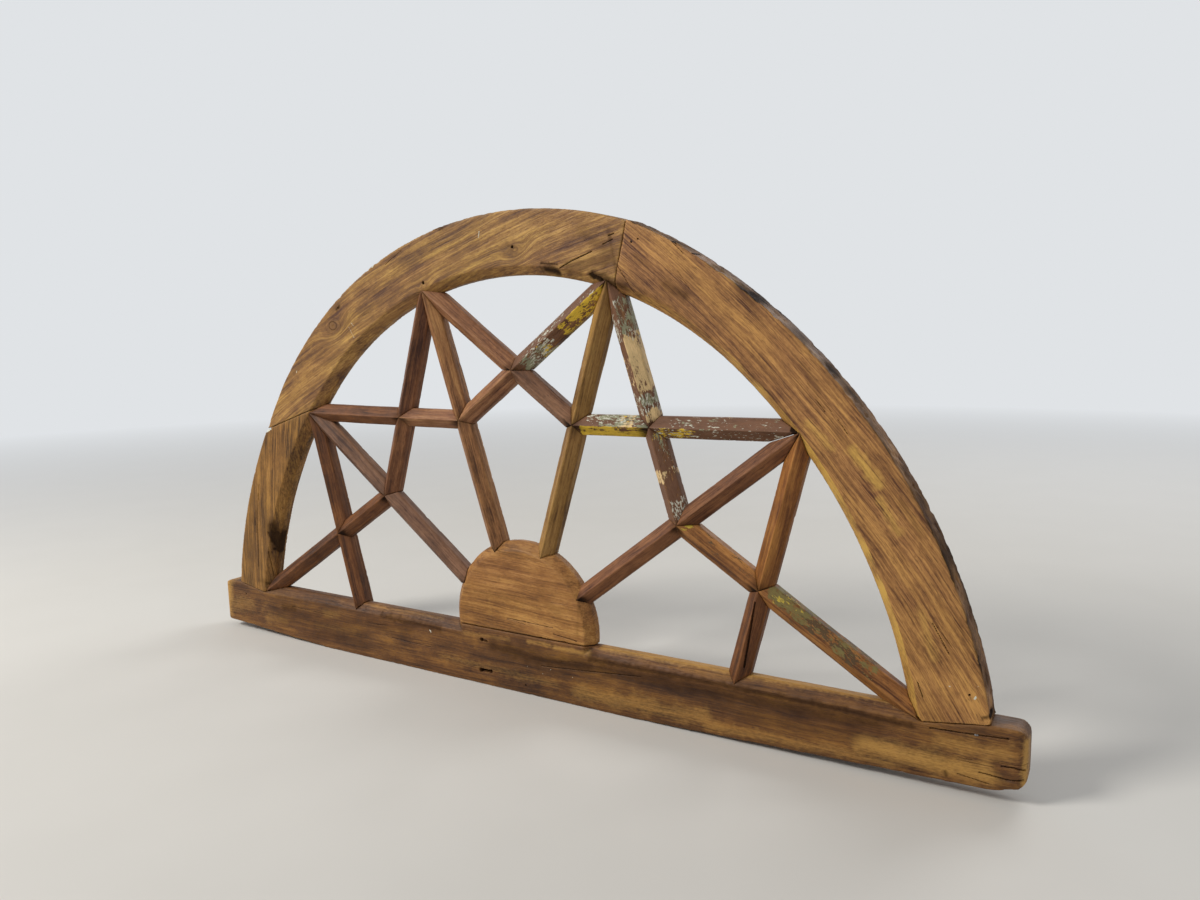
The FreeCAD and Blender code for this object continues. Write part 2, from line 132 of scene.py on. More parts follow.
MARKS = {
    "arch_left": [
        stain([(-520, 196), (-506, 128)], 25, 0.9),
        burn([(-520, 178), (-514, 152)], 11, 1.4, 0.95),
        burn([(-513, 152), (-507, 128)], 6.5, 0.9, 0.85),
        burn([(-519, 180), (-517, 194)], 6, 0.7, 0.75),
        stain([(-560, 95), (-520, 96)], 10, 0.5),
        stain([(-545, 92), (-538, 88)], 7, 0.8),
        chip([(-513, 362), (-508, 365)], 5, 2.5, "fleck", 0.9),
        stain([(-440, 330), (-420, 322)], 12, 0.4),
        crack([(-560, 120), (-556, 190), (-548, 250)], 0.6, 1.4),
        crack([(-535, 95), (-533, 150)], 0.5, 1.2),
        hole(-490, 215, 1.6, 4),
    ],
    "arch_crown": [
        chip([(-446, 480), (-434, 492)], 4, 1.6, "dark", 0.5),
        fleck([(-443, 474), (-441, 478)], 1.2),
        chip([(-470, 440), (-462, 452)], 5, 2.5, "dark", 0.5),
        fleck([(-431, 458), (-430, 461)], 1.2),
        fleck([(-250, 615), (-247, 619)], 1.8),
        ring(-341, 531, 6.5, 2.0, 0.8),
        ring(-341, 531, 13, 1.6, 0.5),
        stain([(-342, 531), (-339, 532)], 3, 0.7),
        stain([(-331, 556), (-324, 561)], 7, 0.85),
        hole(-327, 558, 1.6, 2),
        hole(-151, 588, 2.6, 7),
        stain([(-160, 578), (-148, 566)], 8, 0.35),
        hole(10, 628, 2.3, 3),
        stain([(0, 632), (16, 626)], 7, 0.5),
        stain([(-116, 660), (-110, 662)], 5, 0.7),
        fleck([(-47, 644), (-45, 652)], 0.8),
        fleck([(-300, 534), (-296, 530)], 0.7),
        fleck([(-306, 528), (-296, 512)], 0.7),
        crack([(86, 596), (104, 604), (135, 614)], 0.8, 2.6),
        stain([(62, 596), (80, 592)], 12, 1.0),
        stain([(56, 604), (82, 601)], 3.5, 0.9),
        stain([(100, 596), (160, 604)], 20, 0.62),
        stain([(120, 640), (160, 610)], 22, 0.5),
        stain([(160, 640), (170, 590)], 7, 0.6),
        stain([(136, 588), (168, 570)], 13, 0.85),
        chip([(134, 584), (148, 577)], 4, 3.5, "dark", 1.0),
        crack([(152, 622), (166, 627)], 0.8, 1.6),
        crack([(160, 632), (168, 634)], 0.8, 1.6),
        pale([(-470, 400), (-405, 465)], 26, 0.5),
        pale([(-395, 505), (-372, 520)], 16, 0.45),
        pale([(60, 655), (130, 640)], 15, 0.4),
        stain([(-430, 385), (-415, 400)], 16, 0.35),
    ],
    "arch_right": [
        hole(193, 622, 1.7, 6),
        hole(202, 625, 1.3, 4),
        hole(277, 604, 2.6, 6),
        stain([(240, 568), (266, 552)], 17, 0.66),
        stain([(165, 574), (182, 568)], 16, 0.75),
        stain([(178, 577), (245, 540)], 6, 0.5),
        stain([(330, 560), (352, 540)], 12, 0.5),
        stain([(410, 470), (432, 440)], 9, 0.5),
        stain([(196, 606), (216, 590)], 9, 0.5),
        chip([(500, 436), (520, 404)], 5, 2.5, "dark", 0.5),
        chip([(541, 372), (556, 342)], 8, 4.5, "dark", 0.7),
        chip([(560, 330), (572, 300)], 6, 3.5, "dark", 0.6),
        stain([(560, 345), (598, 250), (617, 150)], 9, 0.6),
        stain([(470, 470), (520, 420), (556, 356)], 7, 0.5),
        stain([(524, 322), (546, 286)], 9, 0.5),
        fleck([(605, 113), (606, 115)], 2.0, 0.9),
        fleck([(607, 127), (608, 127)], 1.0, 0.6),
        fleck([(579, 122), (580, 122)], 1.0, 0.6),
        hole(600, 116, 1.3, 3),
        stain([(614, 93), (622, 97)], 5, 0.8),
        crack([(546, 120), (552, 104)], 0.6, 1.5),
        crack([(560, 190), (578, 158)], 0.5, 1.4),
        pale([(470, 376), (500, 338)], 15, 0.75),
        pale([(502, 322), (522, 286)], 12, 0.65),
        pale([(420, 404), (446, 376)], 12, 0.6),
        pale([(300, 590), (336, 566)], 13, 0.5),
        pale([(548, 200), (562, 150)], 13, 0.5),
    ],
    "sill": [
        hole(-69, 68, 3.0, 8),
        crack([(-71, 68), (-60, 67)], 1.8, 6),
        hole(-72, 21, 3.6, 9),
        crack([(-74, 21.5), (-54, 22)], 2.6, 8),
        hole(-55, 22, 3.4, 9),
        hole(8, 13, 1.5, 5),
        hole(-600, 66, 1.7, 5),
        hole(577, 71, 1.2, 3),
        stain([(-500, 45), (-330, 42)], 70, 0.5),
        stain([(-500, 54), (-476, 56)], 26, 0.7),
        stain([(-300, 58), (-210, 62)], 24, 0.55),
        stain([(-270, 74), (-150, 72)], 11, 0.75),
        stain([(-420, 20), (-360, 24)], 18, 0.55),
        pale([(-400, 60), (-372, 62)], 18, 0.5),
        pale([(-545, 30), (-500, 28)], 20, 0.45),
        pale([(-655, 30), (-648, 84)], 28, 0.85),
        stain([(-520, 72), (-420, 74), (-330, 72)], 9, 0.5),
        pale([(-640, 40), (-590, 50)], 28, 0.5),
        stain([(-46, 62), (30, 56), (118, 60)], 23, 0.72),
        stain([(118, 76), (150, 62)], 16, 0.7),
        stain([(118, 71), (240, 72), (470, 71), (540, 68)], 10, 0.8),
        stain([(130, 62), (330, 62), (500, 62)], 24, 0.66),
        stain([(350, 40), (480, 45)], 34, 0.45),
        stain([(300, 74), (420, 76)], 10, 0.35),
        stain([(-110, 71), (-230, 73)], 4, 0.5),
        stain([(577, 23), (579, 20)], 5, 0.8),
        stain([(590, 63), (596, 64)], 4, 0.4),
        stain([(628, 30), (630, 60)], 7, 0.35),
        pale([(14, 79), (52, 80)], 7, 0.7),
        pale([(60, 78), (114, 78)], 8, 0.75),
        pale([(-100, 74), (-20, 76)], 8, 0.5),
        pale([(-420, 36), (-330, 40)], 14, 0.35),
        pale([(-560, 40), (-545, 60)], 14, 0.3),
        pale([(490, 34), (620, 30)], 28, 0.8),
        pale([(570, 56), (640, 56)], 22, 0.6),
        pale([(656, 24), (657, 74)], 7, 0.95),
        pale([(290, 14), (520, 20)], 14, 0.55),
        pale([(100, 20), (290, 24)], 24, 0.6),
        pale([(-150, 30), (60, 24)], 14, 0.42),
        pale([(130, 86), (330, 87), (520, 88)], 7, 0.75),
        pale([(-300, 84), (-150, 85)], 5, 0.4),
        fleck([(-170, 66), (-168, 64)], 2.4, 1.0),
        fleck([(12, 42), (13, 42)], 0.8),
        fleck([(38, 36), (39, 36)], 0.7),
        fleck([(52, 44), (53, 45)], 0.7),
        fleck([(88, 40), (89, 40)], 0.7),
        crack([(37, 47), (110, 53), (196, 61)], 0.7, 2.2),
        crack([(560, 70), (600, 72), (640, 75)], 0.9, 3.0),
        crack([(634, 43), (646, 44), (656, 42)], 1.0, 3.0),
        crack([(612, 31), (640, 29), (655, 31)], 1.0, 2.6),
        crack([(590, 24), (622, 20)], 0.7, 2.0),
        crack([(-480, 60), (-380, 57)], 0.5, 1.2),
        crack([(-260, 42), (-170, 40)], 0.5, 1.2),
    ],
    "hub": [
        stain([(-80, 141), (-20, 138), (39, 130)], 3.5, 0.5),
        crack([(-21, 108), (20, 107), (58, 106)], 0.6, 1.6),
        crack([(59, 97), (78, 95), (97, 93)], 0.8, 2.0),
        stain([(-40, 186), (30, 184)], 4, 0.35),
        stain([(-60, 172), (-10, 168)], 3, 0.35),
        pale([(-6, 95), (-6, 125)], 8, 0.25),
        pale([(28, 95), (28, 126)], 9, 0.28),
        pale([(-52, 110), (-50, 150)], 12, 0.35),
        stain([(98, 100), (101, 140)], 6, 0.45),
        stain([(40, 150), (70, 130)], 14, 0.4),
    ],
    "bay_4_upper_right": [
        burn([(404, 397), (409, 397)], 5.5, 3.0),
    ],
    "bay_5_lower_right": [
        crack([(355, 184), (347, 140), (339, 98)], 1.2, 3.0),
    ],
}

# Finishes


def srgb(red, green, blue):
    """A linear colour from 8-bit values."""
    return tuple(((v / 255 + 0.055) / 1.055) ** 2.4 if v > 10 else v / 255 / 12.92
                 for v in (red, green, blue)) + (1.0,)


# Deep brown of grime, stains and burns, also used as painted shade in creases, holes, cracks and
# under the bars
GRIME_AND_SHADE = srgb(36, 23, 15)
PALE_WOOD = srgb(190, 144, 74)
YELLOWED = srgb(206, 164, 80)
CHALK = srgb(206, 204, 186)

# A wood's dark, middle and light colours, how far its hue wanders, its bands and fibres per metre
# across the grain, and how much the bands and the fibres contrast
Wood = namedtuple("Wood", "dark mid light warm bands fibres contrast fine")
WOODS = {
    name: Wood(srgb(*dark), srgb(*mid), srgb(*light), *figure)
    for name, dark, mid, light, *figure in (
        ("sill_wood", (56, 33, 18), (102, 67, 34), (148, 104, 50), 0.5, 120, 620, 0.75, 0.8),
        ("hub_wood", (92, 57, 29), (148, 103, 55), (190, 142, 82), 0.5, 130, 560, 0.7, 0.9),
        ("left_wood", (70, 46, 20), (128, 91, 43), (172, 128, 66), 0.5, 170, 700, 0.9, 1.3),
        ("crown_wood", (86, 58, 42), (138, 102, 58), (190, 152, 88), 0.7, 150, 560, 1.0, 1.0),
        ("right_wood", (78, 46, 30), (146, 104, 61), (192, 145, 84), 0.55, 230, 520, 0.8, 1.3),
        ("red_bar", (62, 33, 20), (118, 76, 48), (156, 108, 70), 0.3, 170, 700, 1.0, 1.0),
        # The next, darker bar wood also paints the dimmer light at the left on the bay 1 bars:
        # painted shade
        ("dark_bar", (52, 30, 17), (102, 62, 33), (138, 90, 50), 0.3, 170, 700, 1.0, 1.0),
        ("tan_bar", (84, 50, 32), (136, 92, 62), (176, 130, 90), 0.3, 170, 700, 1.0, 1.0),
        ("olive_bar", (84, 56, 24), (138, 102, 52), (168, 130, 74), 0.3, 150, 700, 1.0, 1.0),
        ("brown_bar", (76, 47, 26), (142, 98, 61), (182, 136, 87), 0.3, 150, 700, 1.0, 1.0),
        ("plum_bar", (66, 42, 30), (114, 80, 58), (144, 106, 80), 0.2, 150, 700, 0.9, 1.0),
        ("orange_bar", (84, 46, 20), (134, 86, 42), (176, 122, 62), 0.4, 150, 700, 1.1, 1.1),
        ("mossy_bar", (78, 44, 22), (138, 92, 50), (180, 128, 70), 0.5, 160, 700, 1.1, 1.0),
        ("painted_bar", (62, 36, 22), (116, 78, 50), (160, 116, 70), 0.3, 160, 700, 1.0, 1.0),
    )
}
GLOSS = 0.5
SHEEN = 0.28
PAINTS = {
    "maroon": srgb(114, 79, 57),
    "green": srgb(146, 147, 118),
    "cream": srgb(228, 196, 142),
    "yellow": srgb(230, 192, 60),
}
MOSSY = {
    "maroon": srgb(82, 65, 42),
    "green": srgb(120, 108, 62),
    "cream": srgb(190, 172, 120),
    "yellow": srgb(196, 170, 64),
}

# Bars that are neither of the common red wood nor of the painted one
BAR_WOODS = {
    node: kind
    for kind, nodes in (
        ("olive_bar", ("ray_outer_3", "ray_inner_3")),
        ("brown_bar", ("ray_outer_2", "ray_inner_2")),
        ("plum_bar", ("ray_outer_1", "ray_inner_1", "bay_3_lower_right")),
        # Bay 1's darker wood partly paints the dimmer light at the left: painted shade
        ("dark_bar", ("bay_1_lower_left", "bay_1_lower_right", "bay_1_upper_left",
                      "bay_1_upper_right", "bay_2_upper_left", "bay_5_lower_right")),
        ("tan_bar", ("bay_2_lower_right", "bay_3_lower_left", "bay_3_upper_left")),
        ("orange_bar", ("bay_5_upper_left",)),
        ("mossy_bar", ("bay_5_lower_left", "bay_5_upper_right")),
    )
    for node in nodes
}

# Old paint on the bars: colour, start and end as shares of the length from left to right, the
# face (1 upper, -1 lower, 0 both) and how much of it is covered
PAINTED = {
    "bay_3_upper_right": [
        ("maroon", -0.1, 1.1, 1, 0.85), ("maroon", -0.1, 0.5, -1, 0.55),
        ("green", 0.06, 0.4, -1, 0.5), ("yellow", 0.22, 0.42, -1, 0.45),
        ("yellow", 0.46, 1.0, -1, 0.56), ("white", 0.1, 0.45, -1, 0.32),
        ("white", 0.1, 0.9, 1, 0.3),
    ],
    "bay_4_upper_left": [
        ("maroon", -0.1, 1.1, 1, 0.6), ("maroon", -0.1, 1.1, -1, 0.85),
        ("green", 0.08, 0.42, 1, 0.46), ("cream", 0.34, 0.8, 1, 0.72),
        ("cream", 0.5, 0.76, -1, 0.36), ("green", 0.74, 0.9, 1, 0.56),
        ("cream", 0.86, 1.02, 1, 0.62), ("white", 0.1, 0.45, 0, 0.27),
        ("yellow", 0.36, 0.44, 1, 0.5), ("white", 0.74, 0.95, 0, 0.36),
    ],
    "bay_4_lower_left": [
        ("maroon", -0.1, 1.1, 1, 0.8), ("green", 0.3, 1.1, 1, 0.5),
        ("white", 0.12, 1.1, 1, 0.34), ("cream", 0.58, 0.84, 1, 0.48),
        ("yellow", 0.6, 0.8, 1, 0.42), ("yellow", 0.05, 1.0, -1, 0.66),
    ],
    "bay_4_upper_right": [
        ("maroon", -0.1, 1.1, 1, 0.9), ("maroon", -0.1, 1.1, -1, 0.85),
        ("green", 0.0, 0.9, 1, 0.2), ("yellow", 0.02, 0.34, -1, 0.5),
        ("white", 0.1, 0.95, 1, 0.26), ("cream", 0.45, 0.9, 1, 0.2),
        ("green", 0.0, 0.8, -1, 0.22), ("white", 0.0, 0.95, -1, 0.26),
    ],
    "bay_4_lower_right": [
        ("maroon", -0.1, 1.1, 1, 0.6), ("maroon", -0.1, 1.1, -1, 0.7),
        ("yellow", 0.0, 0.18, 1, 0.52), ("green", 0.02, 0.4, 1, 0.3), ("white", 0.04, 0.5, 1, 0.2),
        ("cream", 0.38, 0.6, -1, 0.6), ("cream", 0.4, 0.56, 1, 0.5), ("white", 0.7, 1.0, 1, 0.32),
    ],
    "bay_5_lower_left": [
        ("yellow", 0.0, 0.16, 1, 0.6), ("maroon", 0.1, 0.9, 1, 0.25),
    ],
    "bay_5_upper_right": [
        ("green", 0.0, 0.34, 1, 0.6), ("maroon", 0.2, 0.72, 1, 0.52), ("green", 0.3, 0.75, 1, 0.42),
        ("maroon", 0.1, 0.7, -1, 0.3), ("yellow", 0.05, 0.3, 1, 0.3),
        ("yellow", 0.9, 0.97, 1, 0.42),
    ],
}
PAINT_ORDER = ("maroon", "green", "cream", "yellow", "white")


# Shader nodes


def put(tree, kind, values=None, **settings):
    """A shader node with its settings; values are numbers or other nodes' outputs."""
    node = tree.nodes.new("ShaderNode" + kind)
    for name, value in settings.items():
        setattr(node, name, value)
    for name, value in (values or {}).items():
        if isinstance(value, bpy.types.NodeSocket):
            tree.links.new(value, node.inputs[name])
        else:
            node.inputs[name].default_value = value
    return node


def new_material(name):
    material = bpy.data.materials.new(name)
    material.use_nodes = True
    material.node_tree.nodes.clear()
    return material, material.node_tree


def maths(tree, a, b, how="ADD"):
    """The output of a Math node on two numbers or outputs."""
    return put(tree, "Math", {0: a, 1: b}, operation=how).outputs[0]


def scaled(tree, vector, factors):
    return put(tree, "VectorMath", {0: vector, 1: factors}, operation="MULTIPLY").outputs[0]


def cloud(tree, vector, factors, detail=3.0, rough=0.55):
    """Noise drawn out by the factors along, through and across the fibres."""
    node = put(tree, "TexNoise", {"Vector": scaled(tree, vector, factors), "Scale": 1.0,
                                  "Detail": detail, "Roughness": rough})
    return node.outputs[0]


def spread_out(tree, value, low, high, start=0.0, end=1.0):
    node = put(tree, "MapRange", {"Value": value, "From Min": low, "From Max": high,
                                  "To Min": start, "To Max": end})
    return node.outputs[0]


def blend_colour(tree, share, first, second, how="MIX"):
    node = put(tree, "Mix", data_type="RGBA", blend_type=how)
    for index, value in ((0, share), (6, first), (7, second)):
        if isinstance(value, bpy.types.NodeSocket):
            tree.links.new(value, node.inputs[index])
        else:
            node.inputs[index].default_value = value
    return node.outputs[2]


def ramp(tree, share, stops):
    node = put(tree, "ValToRGB", {"Fac": share})
    places = node.color_ramp.elements
    while len(places) < len(stops):
        places.new(0.5)
    for element, (place, colour) in zip(places, stops):
        element.position = place
        element.color = colour
    return node.outputs[0]


def attribute(tree, name):
    return put(tree, "Attribute", attribute_name=name, attribute_type="GEOMETRY").outputs


GOLDEN = (1.0, 0.95, 0.68, 1.0)
ROSY = (0.96, 0.84, 0.84, 1.0)

# How many features a metre holds along, through and across the fibres
DRIFT = (9.0, 16.0, 16.0)
BROAD = (4.0, 18.0, 26.0)
HUES = (5.0, 24.0, 34.0)
BLOTCHES = (24.0, 34.0, 34.0)
CRUMBS = (170.0, 430.0, 430.0)
PORES = (110.0, 900.0, 1500.0)
PATCHES = (45.0, 110.0, 110.0)
FLAKES = (190.0, 520.0, 520.0)

SWAY = (0.0, 0.008, 0.008)
WOOD_RELIEF = 0.0011
COAT_COVER = 0.92


def wood(name, paints=(), rubbed_and_lit=PALE_WOOD):
    """Worn teak. Its fibres follow the piece's grain attribute: along, through and across. The wear
    attribute holds its dark places (grime and stains, with painted shade under the bars and in
    holes and cracks), its lighter places (worn wood, with painted light on the bevels) and its
    chalky ones, and edge its arrises and creases; the creases are darkened as painted shade."""
    kind = WOODS[name]
    material, tree = new_material(name)
    grain = attribute(tree, "grain")["Vector"]
    wear_and_shading = put(tree, "SeparateXYZ", {0: attribute(tree, "wear_and_shading")["Vector"]}).outputs
    dirt_and_shade, rub_and_light, flecks = wear_and_shading["X"], wear_and_shading["Y"], wear_and_shading["Z"]
    edge = attribute(tree, "edge")["Fac"]

    drift = put(tree, "TexNoise", {"Vector": scaled(tree, grain, DRIFT), "Scale": 1.0,
                                   "Detail": 3.0}).outputs[1]
    sway = put(tree, "VectorMath", {0: drift, 1: (0.5, 0.5, 0.5)}, operation="SUBTRACT").outputs[0]
    lines = put(tree, "VectorMath", {0: grain, 1: scaled(tree, sway, SWAY)},
                operation="ADD").outputs[0]
    broad = cloud(tree, lines, BROAD, 2.0, 0.5)
    bands = cloud(tree, lines, (7.0, kind.bands * 0.7, kind.bands), 5.0, 0.62)
    fibres = cloud(tree, lines, (15.0, kind.fibres * 0.7, kind.fibres), 3.0, 0.65)
    years = cloud(tree, lines, (3.2, kind.bands * 0.5, kind.bands * 0.8), 2.0, 0.4)
    veins = maths(tree, years, 0.5, "SUBTRACT")
    veins = put(tree, "Math", {0: veins}, operation="ABSOLUTE").outputs[0]
    veins = spread_out(tree, veins, 0.0, 0.035, 1.0, 0.0)
    pores = cloud(tree, lines, PORES, 1.0, 0.5)
    blotch = cloud(tree, grain, BLOTCHES, 4.0, 0.6)
    crumb = cloud(tree, lines, CRUMBS, 3.0, 0.6)

    tone = 0.48
    shares = ((broad, 0.7), (bands, 1.35 * kind.contrast), (fibres, 0.9 * kind.fine),
              (blotch, 0.8), (crumb, 0.35))
    for figure, weight in shares:
        tone = maths(tree, tone, spread_out(tree, figure, 0.0, 1.0, -weight / 2, weight / 2))
    tone = maths(tree, tone, maths(tree, veins, -0.14 * kind.fine, "MULTIPLY"))
    colour = ramp(tree, tone, [(0.1, kind.dark), (0.46, kind.mid), (0.86, kind.light)])
    hue = cloud(tree, lines, HUES, 3.0, 0.55)
    tint = blend_colour(tree, spread_out(tree, hue, 0.36, 0.64), ROSY, GOLDEN)
    colour = blend_colour(tree, kind.warm, colour, tint, "MULTIPLY")

    dash = spread_out(tree, pores, 0.6, 0.68)
    colour = blend_colour(tree, maths(tree, dash, 0.5, "MULTIPLY"), colour, kind.dark)
    colour = blend_colour(tree, maths(tree, spread_out(tree, edge, 0.2, 0.9), 0.3, "MULTIPLY"),
                          colour, kind.light)
    # Concave places are darkened towards deep brown: painted shade in the creases
    crease = spread_out(tree, edge, -0.05, -0.5)
    colour = blend_colour(tree, maths(tree, crease, 0.75, "MULTIPLY"), colour, GRIME_AND_SHADE)

    grit = maths(tree, maths(tree, crumb, 0.5, "SUBTRACT"), maths(tree, fibres, 0.5, "SUBTRACT"))
    # Lighter places: worn and paler wood, and painted light on the bevels
    light = spread_out(tree, maths(tree, rub_and_light, grit), 0.1, 0.9)
    light = maths(tree, light, rub_and_light, "MULTIPLY")
    colour = blend_colour(tree, light, colour, rubbed_and_lit)
    film = 0.0
    if paints:
        colour, film = painted_over(tree, colour, lines, paints)
    # Dark places: grime, stains and burns, and painted shade under the bars and in holes and cracks
    dark = spread_out(tree, maths(tree, dirt_and_shade, grit), 0.1, 0.85)
    dark = maths(tree, dark, maths(tree, dirt_and_shade, 0.95, "MULTIPLY"), "MULTIPLY")
    colour = blend_colour(tree, dark, colour, GRIME_AND_SHADE)
    flake = maths(tree, crumb, maths(tree, blotch, 0.7, "MULTIPLY"))
    flake = maths(tree, flake, 0.85, "SUBTRACT")
    flake = maths(tree, flecks, maths(tree, flake, 1.5, "MULTIPLY"))
    chalk = maths(tree, spread_out(tree, flake, 0.46, 0.52), spread_out(tree, flecks, 0.02, 0.1),
                  "MULTIPLY")
    colour = blend_colour(tree, chalk, colour, CHALK)

    rough = spread_out(tree, fibres, 0.3, 0.7, GLOSS + 0.12, GLOSS - 0.06)
    rough = maths(tree, rough, maths(tree, maths(tree, dark, chalk), 0.25, "MULTIPLY"))
    relief = maths(tree, maths(tree, fibres, 0.6, "MULTIPLY"),
                   maths(tree, bands, 0.6, "MULTIPLY"))
    relief = maths(tree, relief, maths(tree, dash, 0.25, "MULTIPLY"), "SUBTRACT")
    relief = maths(tree, relief, maths(tree, crumb, 0.25, "MULTIPLY"))
    relief = maths(tree, relief, maths(tree, maths(tree, chalk, film), 0.5, "MULTIPLY"))
    bump = put(tree, "Bump", {"Height": relief, "Strength": 0.6, "Distance": WOOD_RELIEF})
    sheen = spread_out(tree, dark, 0.0, 0.8, SHEEN, 0.08)
    shader = put(tree, "BsdfPrincipled", {"Base Color": colour, "Roughness": rough,
                                          "Specular IOR Level": sheen, "Normal": bump.outputs[0]})
    put(tree, "OutputMaterial", {"Surface": shader.outputs[0]})
    return material


def painted_over(tree, colour, place, paints):
    """Flaking coats over the wood, each where its share of the paint attribute lets it stay."""
    share = put(tree, "SeparateColor", {0: attribute(tree, "paint")["Color"]}).outputs
    shares = [share[0], share[1], share[2], attribute(tree, "paint")["Alpha"]]
    film = 0.0
    for index, (coat, amount) in enumerate(zip(paints, shares)):
        offset = put(tree, "VectorMath", {0: place, 1: (0.31 * index, 0.17 * index, 0.0)},
                     operation="ADD").outputs[0]
        flake = cloud(tree, offset, FLAKES, 4.0, 0.65)
        patch = cloud(tree, offset, PATCHES, 3.0, 0.55)
        level = maths(tree, maths(tree, flake, patch), 1.0, "SUBTRACT")
        level = maths(tree, maths(tree, level, 1.3, "MULTIPLY"), amount)
        stays = spread_out(tree, level, 0.475, 0.525)
        stays = maths(tree, stays, spread_out(tree, amount, 0.02, 0.1), "MULTIPLY")
        stays = maths(tree, stays, COAT_COVER, "MULTIPLY")
        shade = spread_out(tree, maths(tree, flake, patch), 0.75, 1.2, 0.7, 1.05)
        tint = blend_colour(tree, 1.0, coat, shade, "MULTIPLY")
        colour = blend_colour(tree, stays, colour, tint)
        film = maths(tree, film, maths(tree, stays, 0.5, "MULTIPLY"))
    return colour, film


def nail_metal():
    """Rusted steel with bare, bluish patches."""
    material, tree = new_material("nail_metal")
    place = put(tree, "TexCoord").outputs["Object"]
    spots = cloud(tree, place, (900.0, 900.0, 900.0), 4.0, 0.65)
    colour = ramp(tree, spots, [(0.35, srgb(70, 44, 30)), (0.5, srgb(112, 108, 104)),
                                (0.7, srgb(150, 156, 164))])
    rough = spread_out(tree, spots, 0.3, 0.7, 0.8, 0.4)
    bump = put(tree, "Bump", {"Height": spots, "Strength": 0.4, "Distance": 0.0004})
    shader = put(tree, "BsdfPrincipled", {"Base Color": colour, "Roughness": rough, "Metallic": 0.6,
                                          "Normal": bump.outputs[0]})
    put(tree, "OutputMaterial", {"Surface": shader.outputs[0]})
    return material


# Worn meshes


def ridge(node):
    """The direction of a bar's front ridge in degrees from +X, and its ends, left to right."""
    points = np.array([v.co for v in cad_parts[node].data.vertices]) / MM
    front = points[points[:, 1] < FRONT + 0.5][:, [0, 2]]
    gaps = np.linalg.norm(front[:, None] - front[None], axis=2)
    first, last = np.unravel_index(gaps.argmax(), gaps.shape)
    ends = sorted((front[first], front[last]), key=lambda end: end[0])
    reach = ends[1] - ends[0]
    return math.degrees(math.atan2(reach[1], reach[0])), ends


def even_mesh(node, turn, cell):
    """The node's solid as a net of small faces laid out along a direction in the elevation."""
    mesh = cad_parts[node].data.copy()
    spin = Matrix.Rotation(math.radians(turn), 4, "Y")
    mesh.transform(spin)
    blank = bpy.data.objects.new(node + "_blank", mesh)
    bpy.context.scene.collection.objects.link(blank)
    blank.modifiers.new("weld", "WELD").merge_threshold = 1e-6
    net = blank.modifiers.new("net", "REMESH")
    net.mode = "SHARP"
    reach = max(blank.dimensions) / MM
    net.octree_depth = math.ceil(math.log2(reach / cell))
    net.scale = reach / (cell * 2 ** net.octree_depth)
    net.use_remove_disconnected = False
    graph = bpy.context.evaluated_depsgraph_get()
    result = bpy.data.meshes.new_from_object(blank.evaluated_get(graph))
    result.transform(spin.inverted())
    bpy.data.objects.remove(blank)
    bpy.data.meshes.remove(mesh)
    return result


def close_pinches(net):
    """Draws together the few edges that more than two faces share."""
    for _ in range(3):
        pinched = [edge for edge in net.edges if not edge.is_manifold]
        if not pinched:
            return
        bmesh.ops.collapse(net, edges=pinched)
        bmesh.ops.dissolve_degenerate(net, dist=1e-6, edges=net.edges[:])


def path_distance(points, path):
    """Distance in the elevation from each point to a path."""
    flat = points[:, [0, 2]]
    path = np.array(path, float)
    if len(path) == 1:
        return np.linalg.norm(flat - path[0], axis=1)
    nearest = np.full(len(points), np.inf)
    for start, end in zip(path, path[1:]):
        along = end - start
        share = np.clip((flat - start) @ along / (along @ along), 0, 1)
        gap = np.linalg.norm(flat - start - share[:, None] * along, axis=1)
        nearest = np.minimum(nearest, gap)
    return nearest


def refine(net, marks, cell):
    """Halves the faces round narrow marks, twice where the mark is finer than a face."""
    for level in (1, 2):
        narrow = [mark for mark in marks if mark.width < 2.5 * cell / level]
        centres = np.array([face.calc_center_median() for face in net.faces]) / MM
        near = np.zeros(len(centres), bool)
        for mark in narrow:
            near |= path_distance(centres, mark.path) < mark.width + 1.6 * cell / level
        near &= centres[:, 1] < FRONT + BEVEL_DEPTH + 2
        faces = [face for face, is_near in zip(net.faces, near) if is_near]
        edges = list({edge for face in faces for edge in face.edges})
        if edges:
            bmesh.ops.subdivide_edges(net, edges=edges, cuts=1, use_grid_fill=True)


def neighbour_mean(values, edges):
    """Each vertex's mean over the vertices that it shares an edge with."""
    count = len(values)
    ends = np.concatenate([edges, edges[:, ::-1]])
    degree = np.maximum(np.bincount(ends[:, 0], minlength=count), 1)
    if values.ndim == 1:
        return np.bincount(ends[:, 0], values[ends[:, 1]], count) / degree
    columns = [np.bincount(ends[:, 0], values[ends[:, 1], axis], count) for axis in range(3)]
    return np.stack(columns, axis=1) / degree[:, None]


def read_mesh(mesh):
    points = np.empty(len(mesh.vertices) * 3, np.float32)
    mesh.vertices.foreach_get("co", points)
    edges = np.empty(len(mesh.edges) * 2, np.int32)
    mesh.edges.foreach_get("vertices", edges)
    return points.reshape(-1, 3).astype(float) / MM, edges.reshape(-1, 2)


def write_points(mesh, points):
    mesh.vertices.foreach_set("co", (points * MM).astype(np.float32).ravel())
    mesh.update()


def normals_of(mesh):
    normals = np.empty(len(mesh.vertices) * 3, np.float32)
    mesh.vertices.foreach_get("normal", normals)
    return normals.reshape(-1, 3).astype(float)


def outwardness(points, normals):
    """How much each place faces away from the arch's centre, in the elevation."""
    spoke = points[:, [0, 2]] - ARCH_CENTRE
    spoke /= np.linalg.norm(spoke, axis=1)[:, None]
    return (normals[:, [0, 2]] * spoke).sum(axis=1)


